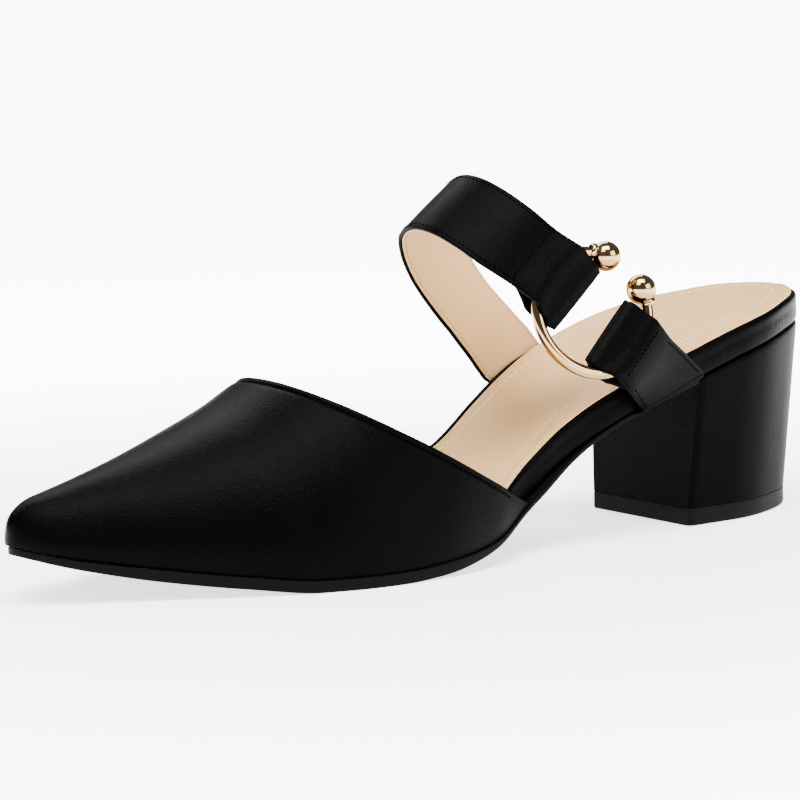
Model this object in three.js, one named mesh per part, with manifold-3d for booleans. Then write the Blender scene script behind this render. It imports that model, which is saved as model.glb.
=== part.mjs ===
// A left block heel mule: pointed closed toe, open heel, and a strap over the instep that is closed on the
// outer side by an open metal ring with a ball on each end. Millimetres. +X points to the toe, +Y to the outer
// side of the left foot, +Z up. The shoe stands on Z = 0, with the middle of its box over the origin.

import * as THREE from 'three';
import { mergeVertices } from 'three/addons/utils/BufferGeometryUtils.js';
import Module from 'manifold-3d';

const wasm = await Module();
wasm.setup();

// Sizes of the last, measured from the back of the heel seat (x = 0) along the heel's own centre line (y = 0).
const soleLength = 250.4;
const ballWidth = 76;
const waistWidth = 41;
const seatWidth = 47;
const seatRound = 29;
const toeRound = 15;
const heelLift = 50;
const toeSpring = 12.5;
const archLift = 4.5;
const instepHeight = 48.8;

// Thicknesses and running sizes of the bottom.
const gap = 0.3;
const outsoleThickness = 3;
const waistThickness = 1.2;
const tipThickness = 1.8;
const footbedThickness = 7.5;
const toeBoardThickness = 3.6;
const sockThickness = 1;
const sockSetback = 2.2;
const footbedRim = 0.9;
const softEdge = 1.5;
const sharpEdge = 0.4;
const outsoleRim = 0.7;
const outsoleSetback = 0.9;
const toeClearance = 5;

// The upper.
const upperWall = 1.8;
const upperBulge = 1.2;
const ridgeShift = 2;
const throatX = 177;
const toplineSideX = 113;
const toplineBow = 1.12;
const noseRound = 8;
const noseShare = 0.5;
const upperFullness = 0.92;
const bellyShare = 0.2;
const ridgeRun = 0.3;

// The heel.
const heelFrontTop = 53.5;
const heelFrontBottom = 55.5;
const heelRearBottom = 4.2;
const heelBottomWidth = 42.5;
const tipHeight = 4.8;
const tipChamfer = 0.6;

// The strap and the tab, of folded leather, and the open ring that joins them.
const strapWidth = 21.6;
const strapRootWidth = 19;
const strapSeamWidth = 20.2;
const strapThickness = 1.8;
const strapBend = 0.6;
const strapRise = 37;
const strapCentre = 39;
const strapRootX = 75.5;
const loopHeight = 69.5;
const loopHalfWidth = 27;
const tabWidth = 19.5;
const tabRootWidth = 21.5;
const tabRootX = 64.5;
const strapTurn = 94;
const tabTurn = -82;
const tailLength = 9;
const seamRamp = 1.4;
const seamRun = 1.5;
const foldSlack = 1.4;
const tabSlack = 0.8;
const strapSlide = 0.7;
const tabSlide = 1.5;
const foldFlare = 1;
const ringRadius = 16.2;
const wireRadius = 1.6;
const ballRadius = 4;
const ringOpening = 47;
const ringTurn = 5;
const ringTilt = 20;
const ringYaw = 4;
const ringSide = 26.3;
const ringLift = 30.9;
const ringSetback = 3.2;

// How finely the curved pieces are cut into flat faces, along their length unless around is said.
const cuts = {
  outsole: 34,
  footbed: 46,
  heel: 24,
  upper: 22,
  upperAround: 30,
  strap: 40,
  tab: 5,
  bend: 4,
  fold: 8,
  wire: 44,
  wireAround: 12,
  ball: 20,
};

const leather = new THREE.MeshStandardMaterial({ color: 0x0c0c0d, roughness: 0.45 });
const rubber = new THREE.MeshStandardMaterial({ color: 0x1b1b1c, roughness: 0.7 });
const lining = new THREE.MeshStandardMaterial({ color: 0xd9bf9b, roughness: 0.6 });
const gold = new THREE.MeshStandardMaterial({ color: 0xe8c48a, roughness: 0.12, metalness: 1 });

// Outline of the last from above. at: share of the sole's length. half: half width, as a share of the size in of.
// swing: how far its middle lies to the outer side, as a share of the ball's width.
const outline = [
  { at: 0, half: 0.43, of: seatWidth, swing: -0.066 },
  { at: 0.06, half: 0.448, of: seatWidth, swing: -0.043 },
  { at: 0.15, half: 0.497, of: seatWidth, swing: -0.005 },
  { at: 0.25, half: 0.502, of: seatWidth, swing: -0.001 },
  { at: 0.35, half: 0.53, of: waistWidth, swing: -0.003 },
  { at: 0.44, half: 0.56, of: waistWidth, swing: 0.04 },
  { at: 0.52, half: 0.412, of: ballWidth, swing: 0.056 },
  { at: 0.6, half: 0.486, of: ballWidth, swing: 0.046 },
  { at: 0.67, half: 0.503, of: ballWidth, swing: 0.029 },
  { at: 0.74, half: 0.465, of: ballWidth, swing: 0.016 },
  { at: 0.81, half: 0.37, of: ballWidth, swing: 0.009 },
  { at: 0.88, half: 0.257, of: ballWidth, swing: 0.003 },
  { at: 0.94, half: 0.165, of: ballWidth, swing: -0.002 },
  { at: 1, half: 0.115, of: ballWidth, swing: -0.005 },
];

// Height of the outsole's underside. rise: share of the heel's lift. spring: share of the toe spring.
const bottomLine = [
  { at: 0, rise: 1.01, spring: 0 },
  { at: 0.04, rise: 0.995, spring: 0 },
  { at: 0.12, rise: 0.92, spring: 0 },
  { at: 0.22, rise: 0.772, spring: 0 },
  { at: 0.3, rise: 0.636, spring: 0 },
  { at: 0.38, rise: 0.442, spring: 0 },
  { at: 0.46, rise: 0.212, spring: 0 },
  { at: 0.54, rise: 0.062, spring: 0 },
  { at: 0.6, rise: 0.014, spring: 0 },
  { at: 0.65, rise: 0, spring: 0 },
  { at: 0.73, rise: 0, spring: 0 },
  { at: 0.8, rise: 0, spring: 0.15 },
  { at: 0.88, rise: 0, spring: 0.39 },
  { at: 0.95, rise: 0, spring: 0.7 },
  { at: 1, rise: 0, spring: 1 },
];

// How far the inner edge of the seat and the waist stands higher than the outer edge, as a share of the arch's lift.
const archLine = [
  { at: 0, lift: 0 },
  { at: 0.08, lift: 0.12 },
  { at: 0.15, lift: 0.6 },
  { at: 0.23, lift: 1 },
  { at: 0.31, lift: 0.85 },
  { at: 0.4, lift: 0.45 },
  { at: 0.5, lift: 0.12 },
  { at: 0.58, lift: 0 },
  { at: 1, lift: 0 },
];

// Height of the last's ridge over the floor, as a share of the instep's height.
const crown = [
  { at: 0.4, height: 1.68 },
  { at: 0.52, height: 1.45 },
  { at: 0.6, height: 1.27 },
  { at: 0.66, height: 1.11 },
  { at: 0.71, height: 0.995 },
  { at: 0.75, height: 0.888 },
  { at: 0.795, height: 0.798 },
  { at: 0.86, height: 0.684 },
  { at: 0.925, height: 0.588 },
  { at: 0.975, height: 0.523 },
  { at: 1, height: 0.492 },
];

// The strap's loop over the instep, from above its root on the inner side to the seam of its fold on the outer side.
// side: share of the loop's half width, plus to the outer side. up: share of its height over the root. back and
// twist: how far its middle lies further back, and how far its rear edge stands out, as shares of half its width.
const strapLoop = [
  { side: -0.965, up: 0.175, back: 0.15, twist: 0.14 },
  { side: -0.97, up: 0.305, back: 0.08, twist: 0.24 },
  { side: -0.985, up: 0.435, back: 0.02, twist: 0.3 },
  { side: -0.99, up: 0.57, back: 0, twist: 0.24 },
  { side: -0.94, up: 0.7, back: 0, twist: 0.14 },
  { side: -0.8, up: 0.825, back: 0, twist: 0.06 },
  { side: -0.56, up: 0.937, back: 0, twist: 0.02 },
  { side: -0.22, up: 0.987, back: 0, twist: 0 },
  { side: 0.06, up: 0.974, back: 0, twist: 0 },
  { side: 0.32, up: 0.918, back: 0, twist: 0 },
  { side: 0.55, up: 0.838, back: 0, twist: 0 },
];

// A smooth curve through the rows of a table that never overshoots them.
function curveThrough(xs, ys) {
  const last = xs.length - 1;
  const slope = xs.slice(1).map((x, i) => (ys[i + 1] - ys[i]) / (x - xs[i]));
  const tangent = xs.map((x, i) => {
    if (i === 0) return slope[0];
    if (i === last) return slope[last - 1];
    if (slope[i - 1] * slope[i] <= 0) return 0;
    return (2 * slope[i - 1] * slope[i]) / (slope[i - 1] + slope[i]);
  });
  return (x) => {
    const here = THREE.MathUtils.clamp(x, xs[0], xs[last]);
    let i = 0;
    while (i < last - 1 && here > xs[i + 1]) i += 1;
    const span = xs[i + 1] - xs[i];
    const t = (here - xs[i]) / span;
    const t2 = t * t;
    const t3 = t2 * t;
    return ys[i] * (2 * t3 - 3 * t2 + 1) + tangent[i] * span * (t3 - 2 * t2 + t)
      + ys[i + 1] * (3 * t2 - 2 * t3) + tangent[i + 1] * span * (t3 - t2);
  };
}

const along = (rows) => rows.map((row) => row.at * soleLength);
const halfEnvelope = curveThrough(along(outline), outline.map((row) => row.half * row.of));
const middle = curveThrough(along(outline), outline.map((row) => row.swing * ballWidth));
const underside = curveThrough(along(bottomLine), bottomLine.map((row) => row.rise * heelLift + row.spring * toeSpring));
const ridge = curveThrough(along(crown), crown.map((row) => row.height * instepHeight));

// From 0 at a rounded end to 1 where the round is over, as a quarter of a circle.
function roundEnd(share) {
  const inside = THREE.MathUtils.clamp(share, 0, 1);
  return Math.sqrt(inside * (2 - inside));
}

// Half width of the last's outline grown by an amount, with its heel and toe ends moved out by their own amounts.
function halfWidth(x, grow, heelEnd, toeEnd) {
  const heel = roundEnd((x + heelEnd) / (seatRound + heelEnd));
  const toe = roundEnd((soleLength + toeEnd - x) / (toeRound + toeEnd));
  return (halfEnvelope(x) + grow) * heel * toe;
}

// Inside the upper the footbed is narrower by the upper's wall, which lies outside it.
const upperStart = toplineSideX - 12;
const upperFull = toplineSideX;
const tuck = (x) => (upperWall + gap + footbedRim) * THREE.MathUtils.smoothstep(x, upperStart, upperFull);
const footbedHalf = (x) => halfWidth(x, footbedRim - tuck(x), 0, -toeClearance);
const thickFrom = toplineSideX + 6;
const thickFull = 0.6 * soleLength;
const thinFrom = 0.86 * soleLength;
const slopeRun = 4;
const steep = (x) => Math.hypot(1, (underside(x + slopeRun / 2) - underside(x - slopeRun / 2)) / slopeRun);
const outsoleTop = (x) => underside(x) + steep(x) * (
  THREE.MathUtils.lerp(waistThickness, outsoleThickness, THREE.MathUtils.smoothstep(x, thickFrom, thickFull))
  + (tipThickness - outsoleThickness) * THREE.MathUtils.smoothstep(x, thinFrom, soleLength));
const footbedBottom = (x) => outsoleTop(x) + gap;
const boardThickness = (x) => THREE.MathUtils.lerp(
  footbedThickness, toeBoardThickness, THREE.MathUtils.smoothstep(x, upperFull, 0.66 * soleLength));
const footbedTop = (x) => footbedBottom(x) + steep(x) * boardThickness(x);

// The arch's lift at a place of the bottom: none at the outer edge, and all of it at the inner one.
const archCurve = curveThrough(along(archLine), archLine.map((row) => row.lift * archLift));
const arch = (x, y) => archCurve(x) * (0.5 - (y - middle(x)) / (2 * halfEnvelope(x)));
const onArch = (x, y, z) => new THREE.Vector3(x, y, z + arch(x, y));
const sockBottom = (x) => footbedTop(x) + gap;

// Places along a piece, closer together at a rounded end.
function stations(from, to, count, roundFrom, roundTo) {
  return Array.from({ length: count + 1 }, (_, i) => {
    let t = i / count;
    if (roundFrom && roundTo) t = (1 - Math.cos(Math.PI * t)) / 2;
    else if (roundFrom) t = 1 - Math.cos((Math.PI / 2) * t);
    else if (roundTo) t = Math.sin((Math.PI / 2) * t);
    return THREE.MathUtils.lerp(from, to, t);
  });
}

// A closed mesh with shared corners: triangles with two corners in one place are dropped, and its faces point out.
function closedMesh(points, triangles) {
  const soup = new THREE.BufferGeometry();
  soup.setAttribute('position', new THREE.Float32BufferAttribute(points.flatMap((p) => [p.x, p.y, p.z]), 3));
  soup.setIndex(triangles.flat());
  const welded = mergeVertices(soup, 1e-3);
  const index = Array.from(welded.index.array);
  const at = new THREE.Vector3();
  const corners = [new THREE.Vector3(), new THREE.Vector3(), new THREE.Vector3()];
  const kept = [];
  let volume = 0;
  for (let i = 0; i < index.length; i += 3) {
    const [a, b, c] = index.slice(i, i + 3);
    if (a === b || b === c || c === a) continue;
    kept.push(a, b, c);
    [a, b, c].forEach((k, n) => corners[n].fromBufferAttribute(welded.attributes.position, k));
    volume += corners[0].dot(at.crossVectors(corners[1], corners[2]));
  }
  if (volume < 0) kept.reverse();
  welded.setIndex(kept);
  return welded;
}

// A body through rings of points. Each ring goes along one side and back along the other, so that point k faces
// point n - 1 - k. The ends are closed between those pairs, but not the last one where it comes to a line.
function loft(rings, endsInLine = false) {
  const size = rings[0].length;
  const points = rings.flat();
  const triangles = [];
  const quad = (a, b, c, d) => triangles.push([a, b, c], [a, c, d]);
  for (let r = 0; r < rings.length - 1; r += 1) {
    for (let k = 0; k < size; k += 1) {
      const next = (k + 1) % size;
      quad(r * size + k, r * size + next, (r + 1) * size + next, (r + 1) * size + k);
    }
  }
  const close = (first, flip) => {
    for (let k = 0; k < size / 2 - 1; k += 1) {
      const pair = [first + k, first + size - 1 - k, first + size - 2 - k, first + k + 1];
      quad(...(flip ? pair.reverse() : pair));
    }
  };
  close(0, false);
  if (!endsInLine) close((rings.length - 1) * size, true);
  return closedMesh(points, triangles);
}

// A ring through the points of an outer and an inner side, both from bottom to top, that starts and turns back
// halfway between the two sides.
function across(outer, inner) {
  const middleOf = (a, b) => a.clone().lerp(b, 0.5);
  const below = middleOf(outer[0], inner[0]);
  const above = middleOf(outer.at(-1), inner.at(-1));
  return [below, ...outer, above, above.clone(), ...inner.reverse(), below.clone()];
}

// A flat-lying layer: side(x) lists the [distance from the middle, height] of its outer edge from bottom to top.
function layer(places, side) {
  return loft(places.map((x) => {
    const edge = side(x);
    return across(
      edge.map(([y, z]) => onArch(x, middle(x) + y, z)),
      edge.map(([y, z]) => onArch(x, middle(x) - y, z)),
    );
  }));
}

// Joins and cuts between closed meshes.
function toSolid(geometry) {
  const bare = geometry.clone();
  bare.deleteAttribute('normal');
  bare.deleteAttribute('uv');
  const merged = mergeVertices(bare, 1e-4);
  return new wasm.Manifold(new wasm.Mesh({
    numProp: 3,
    vertProperties: new Float32Array(merged.attributes.position.array),
    triVerts: new Uint32Array(merged.index.array),
  }));
}

function fromSolid(solid) {
  const mesh = solid.getMesh();
  const geometry = new THREE.BufferGeometry();
  geometry.setAttribute('position', new THREE.BufferAttribute(new Float32Array(mesh.vertProperties), 3));
  geometry.setIndex(new THREE.BufferAttribute(new Uint32Array(mesh.triVerts), 1));
  return geometry;
}

// Thin rubber outsole, from the heel's front face to the toe, with its lower edge eased.
function makeOutsole() {
  const places = stations(heelFrontTop + gap, soleLength - outsoleSetback, cuts.outsole, false, true);
  return layer(places, (x) => {
    const half = halfWidth(x, outsoleRim, 0, -outsoleSetback);
    const eased = Math.min((outsoleTop(x) - underside(x)) / 3, half);
    return [[half - eased, underside(x)], [half, underside(x) + eased], [half, outsoleTop(x)]];
  });
}

// The covered board that the foot stands on, with a soft upper edge.
function makeFootbedBlank() {
  const places = stations(0, soleLength - toeClearance, cuts.footbed, true, true);
  return layer(places, (x) => {
    const half = footbedHalf(x);
    const ease = Math.min(softEdge, half);
    const low = footbedBottom(x);
    const high = footbedTop(x);
    return [
      [half - ease / 3, low],
      [half, low + softEdge / 2],
      [half, high - softEdge],
      [half - ease / 3, high - softEdge / 3],
      [half - ease, high],
    ];
  });
}

// The lining sheet glued on the footbed.
function makeSock() {
  const places = stations(sockSetback, soleLength - toeClearance - footbedRim, cuts.footbed, true, true);
  return layer(places, (x) => {
    const half = halfWidth(x, -tuck(x), -sockSetback, -toeClearance - footbedRim);
    const ease = Math.min(sharpEdge, half);
    const high = sockBottom(x) + sockThickness;
    return [[half, sockBottom(x)], [half, high - sharpEdge], [half - ease, high]];
  });
}

// The covered block heel: a straight front face, and sides that follow the seat and draw in towards the floor.
const seatHalf = (x) => halfWidth(x, footbedRim, 0, 0);
const heelScale = heelBottomWidth / (2 * seatHalf(heelFrontTop));

function heelSide(share, level, sign) {
  const topX = heelFrontTop * share;
  const bottomX = THREE.MathUtils.lerp(heelRearBottom, heelFrontBottom, share);
  const half = seatHalf(topX) * THREE.MathUtils.lerp(heelScale, 1, level);
  const y = middle(topX) + sign * half;
  const topZ = onArch(topX, middle(topX) + sign * seatHalf(topX), footbedBottom(topX) - gap).z;
  return new THREE.Vector3(
    THREE.MathUtils.lerp(bottomX, topX, level),
    y,
    THREE.MathUtils.lerp(tipHeight + gap, topZ, level),
  );
}

function makeHeelBlock() {
  const levels = [0, 0.25, 0.5, 0.75, 1];
  return loft(stations(0, 1, cuts.heel, true, false).map((share) => {
    const outer = levels.map((level) => heelSide(share, level, 1));
    const inner = levels.map((level) => heelSide(share, level, -1));
    return across(outer, inner);
  }));
}

// The hard rubber tip under the heel.
function makeHeelTip() {
  const middleX = (heelRearBottom + heelFrontBottom) / 2;
  const small = 1 - tipChamfer / (heelBottomWidth / 2);
  const side = [[small, 0], [1, tipChamfer], [1, tipHeight]];
  return loft(stations(0, 1, cuts.heel, true, false).map((share) => {
    const place = (sign) => side.map(([scale, z]) => {
      const foot = heelSide(share, 0, sign);
      return new THREE.Vector3(middleX + (foot.x - middleX) * scale, foot.y * scale, z);
    });
    return [...place(1), ...place(-1).reverse()];
  }));
}

// The upper's section at x. turn goes from 0 at the outer feather edge over the ridge to pi at the inner one.
// inset moves the surface in by the wall.
const feather = (x) => outsoleTop(x) + gap;

function upperPoint(x, turn, inset) {
  const tip = soleLength - inset;
  const nose = noseShare + (1 - noseShare) * roundEnd((tip - x) / noseRound);
  const rise = (ridge(x) - inset - feather(x)) * nose;
  const height = rise * Math.sin(turn) ** upperFullness;
  const belly = bellyShare * rise;
  const bulge = upperBulge * (height / belly) * Math.exp(1 - height / belly);
  const round = roundEnd((tip - x) / toeRound);
  const half = (halfEnvelope(x) - inset + bulge) * round;
  const side = Math.sign(Math.cos(turn)) * Math.abs(Math.cos(turn)) ** upperFullness;
  const lean = ridgeShift * Math.sin(turn) ** 2 * THREE.MathUtils.smoothstep(tip - x, 0, ridgeRun * soleLength);
  return onArch(x, middle(x) - lean + side * half, feather(x) + height);
}

// The topline climbs from the sole on each side to the throat: where it crosses the line of each turn.
function toplineHeight(x) {
  const share = THREE.MathUtils.clamp((x - toplineSideX) / (throatX - toplineSideX), 0, 1);
  return THREE.MathUtils.lerp(feather(toplineSideX), ridge(throatX), share ** toplineBow);
}

function toplineX(turn) {
  let low = toplineSideX;
  let high = throatX;
  for (let i = 0; i < 40; i += 1) {
    const x = (low + high) / 2;
    if (upperPoint(x, turn, 0).z > toplineHeight(x)) low = x;
    else high = x;
  }
  return (low + high) / 2;
}

function makeUpper() {
  const turns = Array.from({ length: cuts.upperAround + 1 }, (_, j) => (Math.PI * j) / cuts.upperAround);
  const starts = turns.map((turn) => toplineX(turn));
  const shares = stations(0, 1, cuts.upper, false, true);
  return loft(shares.map((share) => {
    const wall = (inset) => turns.map((turn, j) => upperPoint(
      THREE.MathUtils.lerp(starts[j], soleLength - inset, share), turn, inset));
    return [...wall(0), ...wall(upperWall).reverse()];
  }), true);
}

// A strip of leather through places that each give its middle and the half width to its rear edge.
function ribbon(path, thickness) {
  const eased = Math.min(sharpEdge, thickness / 3);
  const face = thickness / 2;
  return loft(path.map(({ centre, half }, i) => {
    const before = path[Math.max(i - 1, 0)].centre;
    const after = path[Math.min(i + 1, path.length - 1)].centre;
    const normal = new THREE.Vector3().crossVectors(half, after.clone().sub(before)).normalize();
    const wide = half.length();
    const corner = (across, out) => centre.clone()
      .addScaledVector(half, across / wide)
      .addScaledVector(normal, out);
    return [
      corner(-wide, face - eased), corner(eased - wide, face), corner(wide - eased, face), corner(wide, face - eased),
      corner(wide, eased - face), corner(wide - eased, -face), corner(eased - wide, -face), corner(-wide, eased - face),
    ];
  }));
}

// The root of a strip: a tail in the footbed's pocket, a bend round the footbed's lower edge, and a stretch up its
// side. sign is +1 on the outer side and -1 on the inner one.
const sideGap = gap + 0.2;
const pocketOut = 4;
const bend = strapThickness / 2 + strapBend;
const tailZ = (x) => footbedBottom(x) + strapThickness / 2;
const besideFootbed = (x, sign) => middle(x) + sign * (footbedHalf(x) + sideGap + strapThickness / 2);

function rootHalf(x, sign, width) {
  const rear = onArch(x - width / 4, besideFootbed(x - width / 4, sign), tailZ(x - width / 4));
  const front = onArch(x + width / 4, besideFootbed(x + width / 4, sign), tailZ(x + width / 4));
  return rear.sub(front).setLength(width / 2);
}

function rootPath(x, sign, width) {
  const side = besideFootbed(x, sign);
  const low = tailZ(x);
  const corner = Array.from({ length: cuts.bend + 1 }, (_, i) => {
    const angle = (Math.PI / 2) * (i / cuts.bend);
    return [side - sign * bend * (1 - Math.sin(angle)), low + bend * (1 - Math.cos(angle))];
  });
  return [[side - sign * (bend + tailLength), low], ...corner]
    .map(([y, z]) => ({ centre: onArch(x, y, z), half: rootHalf(x, sign, width) }));
}

// Room for a tail under the footbed.
function pocket(x, sign, width) {
  const depth = strapThickness + 2 * gap;
  const half = rootHalf(x, sign, width + 2 * gap);
  const z = tailZ(x) + gap - depth / 2 + strapThickness / 2;
  const side = besideFootbed(x, sign);
  const ends = [side - sign * (tailLength + bend + gap), side + sign * pocketOut];
  return toSolid(ribbon(ends.map((y) => ({ centre: onArch(x, y, z), half })), depth));
}

// Directions of the strap's loop: its width runs back and up, and its height square to that.
const riseAngle = THREE.MathUtils.degToRad(strapRise);
const acrossStrap = new THREE.Vector3(-Math.cos(riseAngle), 0, Math.sin(riseAngle));
const upStrap = new THREE.Vector3(Math.sin(riseAngle), 0, Math.cos(riseAngle));
const strapRootUp = new THREE.Vector3(strapRootX, 0, tailZ(strapRootX)).dot(upStrap);
const loopPoint = (y, up, across) => new THREE.Vector3(0, y, 0)
  .addScaledVector(upStrap, strapRootUp + up)
  .addScaledVector(acrossStrap, across);

// The ring's own plane: its middle, the direction to the strap's fold, the one to its opening, and its outer side.
const ringCentre = loopPoint(ringSide, ringLift, -strapCentre + ringSetback);
const ringUp = upStrap.clone().applyAxisAngle(acrossStrap, THREE.MathUtils.degToRad(-ringTilt));
const ringBack = acrossStrap.clone().applyAxisAngle(ringUp, THREE.MathUtils.degToRad(ringYaw));
const ringOut = new THREE.Vector3().crossVectors(ringBack, ringUp);
const spoke = (degrees) => new THREE.Vector3()
  .addScaledVector(ringBack, Math.cos(THREE.MathUtils.degToRad(degrees)))
  .addScaledVector(ringUp, Math.sin(THREE.MathUtils.degToRad(degrees)));

// How the two leaves of a fold part between its seam and the wire. at: share of the ramp. lift: share of the room.
const seamCurve = [
  { at: 0, lift: 0 },
  { at: 0.3, lift: 0.22 },
  { at: 0.7, lift: 0.8 },
  { at: 1, lift: 1 },
];

// A fold round the ring's wire, from its seam to the ring and back, where the spoke at an angle crosses the ring.
// slack: how far it reaches past the wire. slide: how far its middle lies off the spoke, away from its rear edge.
const wireRoom = wireRadius + gap + strapThickness / 2;
const seamOut = (strapThickness + gap) / 2;
const foldFar = ringRadius + wireRadius + gap;
const seamAt = foldFar + seamRamp;

function foldPath(degrees, width, slack, slide) {
  const inward = spoke(degrees);
  const wide = spoke(degrees - 90).multiplyScalar(Math.sign(width));
  const half = Math.abs(width) / 2;
  const wireEdge = Math.sqrt((ringRadius - wireRadius) ** 2 - (half + foldFlare + Math.abs(slide)) ** 2);
  const bendAt = wireEdge - gap - slack + wireRoom - strapThickness / 2;
  const mid = (foldFar + bendAt) / 2;
  const round = Array.from({ length: cuts.fold + 1 }, (_, i) => {
    const angle = Math.PI / 2 - (Math.PI * i) / cuts.fold;
    return [bendAt - wireRoom * Math.cos(angle), wireRoom * Math.sin(angle)];
  });
  const leaf = (side) => seamCurve.map(({ at, lift }) => [
    seamAt - at * seamRamp, side * THREE.MathUtils.lerp(seamOut, wireRoom, lift)]);
  return [
    ...leaf(1), [mid, wireRoom], ...round, [mid, -wireRoom], ...leaf(-1).reverse(), [seamAt + seamRun, -seamOut],
  ].map(([far, out]) => {
    const flare = foldFlare * THREE.MathUtils.clamp((seamAt - far) / (seamAt - bendAt), 0, 1);
    return {
      centre: ringCentre.clone()
        .addScaledVector(inward, far)
        .addScaledVector(ringOut, out)
        .addScaledVector(wide, -slide),
      half: wide.clone().multiplyScalar(half + flare),
    };
  });
}

// A smooth run from the root to the fold through the places given, with its width turning from stop to stop.
function runThrough(root, places, fold, count) {
  const stops = [root.at(-1), ...places, fold[0]];
  const route = new THREE.CatmullRomCurve3(stops.map((stop) => stop.centre), false, 'centripetal');
  return Array.from({ length: count - 1 }, (_, k) => {
    const place = ((k + 1) / count) * (stops.length - 1);
    const i = Math.min(Math.floor(place), stops.length - 2);
    const part = place - i;
    const wide = THREE.MathUtils.lerp(stops[i].half.length(), stops[i + 1].half.length(), part);
    const half = stops[i].half.clone().lerp(stops[i + 1].half, part).setLength(wide);
    return { centre: route.getPoint(place / (stops.length - 1)), half };
  });
}

function strapPath() {
  const root = rootPath(strapRootX, -1, strapRootWidth);
  const fold = foldPath(strapTurn, strapSeamWidth, foldSlack, strapSlide);
  const loop = strapLoop.map(({ side, up, back, twist }) => ({
    centre: loopPoint(side * loopHalfWidth, up * loopHeight, back * (strapWidth / 2) - strapCentre),
    half: acrossStrap.clone().add(new THREE.Vector3(0, -twist, 0)).setLength(strapWidth / 2),
  }));
  return [...root, ...runThrough(root, loop, fold, cuts.strap), ...fold];
}

function tabPath() {
  const root = rootPath(tabRootX, 1, tabRootWidth);
  const fold = foldPath(tabTurn, -tabWidth, tabSlack, tabSlide);
  return [...root, ...runThrough(root, [], fold, cuts.tab), ...fold];
}

function makeRing() {
  const first = ringTurn + ringOpening / 2;
  const sweep = 360 - ringOpening;
  const wire = loft(Array.from({ length: cuts.wire + 1 }, (_, i) => {
    const out = spoke(first + (sweep * i) / cuts.wire);
    return Array.from({ length: cuts.wireAround }, (__, k) => {
      const turn = (2 * Math.PI * (k + 0.5)) / cuts.wireAround;
      return ringCentre.clone()
        .addScaledVector(out, ringRadius + wireRadius * Math.cos(turn))
        .addScaledVector(ringOut, wireRadius * Math.sin(turn));
    });
  }));
  const ball = (degrees) => {
    const { x, y, z } = ringCentre.clone().addScaledVector(spoke(degrees), ringRadius);
    return toSolid(new THREE.SphereGeometry(ballRadius, cuts.ball, 0.7 * cuts.ball).translate(x, y, z));
  };
  return fromSolid(toSolid(wire).add(ball(first)).add(ball(first + sweep)));
}

function makeFootbed() {
  return fromSolid(toSolid(makeFootbedBlank())
    .subtract(pocket(strapRootX, -1, strapRootWidth))
    .subtract(pocket(tabRootX, 1, tabRootWidth)));
}

const shoe = new THREE.Group();
const pieces = {
  outsole: [makeOutsole(), rubber],
  footbed: [makeFootbed(), leather],
  sock: [makeSock(), lining],
  upper: [makeUpper(), leather],
  heel_block: [makeHeelBlock(), leather],
  heel_tip: [makeHeelTip(), rubber],
  strap: [ribbon(strapPath(), strapThickness), leather],
  tab: [ribbon(tabPath(), strapThickness), leather],
  ring: [makeRing(), gold],
};
for (const [name, [geometry, material]] of Object.entries(pieces)) {
  const mesh = new THREE.Mesh(geometry, material);
  mesh.name = name;
  shoe.add(mesh);
}

const box = new THREE.Box3().setFromObject(shoe);
const boxMiddle = box.getCenter(new THREE.Vector3());
shoe.position.set(-boxMiddle.x, -boxMiddle.y, 0);

export default shoe;
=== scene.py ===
import bmesh
import bpy
import math
import numpy as np
from mathutils import Matrix


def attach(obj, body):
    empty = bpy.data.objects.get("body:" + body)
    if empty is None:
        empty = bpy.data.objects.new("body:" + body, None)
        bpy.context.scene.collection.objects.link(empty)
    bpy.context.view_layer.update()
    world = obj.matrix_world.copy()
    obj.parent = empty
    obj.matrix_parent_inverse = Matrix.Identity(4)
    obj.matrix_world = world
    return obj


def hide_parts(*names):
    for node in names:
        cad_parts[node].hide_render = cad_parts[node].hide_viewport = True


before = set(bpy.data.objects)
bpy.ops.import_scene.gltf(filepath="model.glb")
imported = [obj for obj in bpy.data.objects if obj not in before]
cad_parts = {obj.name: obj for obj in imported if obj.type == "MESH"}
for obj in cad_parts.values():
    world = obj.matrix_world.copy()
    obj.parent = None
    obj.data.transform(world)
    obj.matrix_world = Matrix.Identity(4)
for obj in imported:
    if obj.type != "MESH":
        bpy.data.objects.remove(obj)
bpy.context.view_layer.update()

# Outsole: a thin sheet of black rubber from the heel's front face to the toe, cemented under the footbed.
# Its underside is matte, and its cut edge shows as a dull grey line under the upper.
# Sizes are in millimetres from the back of the heel seat, and MIDDLE is where the frame's own middle lies.
SOLE_LENGTH, BALL, WAIST, SEAT = 250.4, 76, 41, 47
SEAT_ROUND, TOE_ROUND = 29, 15
HEEL_LIFT, TOE_SPRING, ARCH_LIFT = 50, 12.5, 4.5
GAP = 0.3
MIDDLE = np.array([125.2, 2.35, 0.0])
OUTLINE = [  # share of the length, half width, swing to the outer side as a share of the ball's width
    (0, 0.43 * SEAT, -0.066), (0.06, 0.448 * SEAT, -0.043), (0.15, 0.497 * SEAT, -0.005),
    (0.25, 0.502 * SEAT, -0.001), (0.35, 0.53 * WAIST, -0.003), (0.44, 0.56 * WAIST, 0.04),
    (0.52, 0.412 * BALL, 0.056), (0.6, 0.486 * BALL, 0.046), (0.67, 0.503 * BALL, 0.029),
    (0.74, 0.465 * BALL, 0.016), (0.81, 0.37 * BALL, 0.009), (0.88, 0.257 * BALL, 0.003),
    (0.94, 0.165 * BALL, -0.002), (1, 0.115 * BALL, -0.005)]
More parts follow.
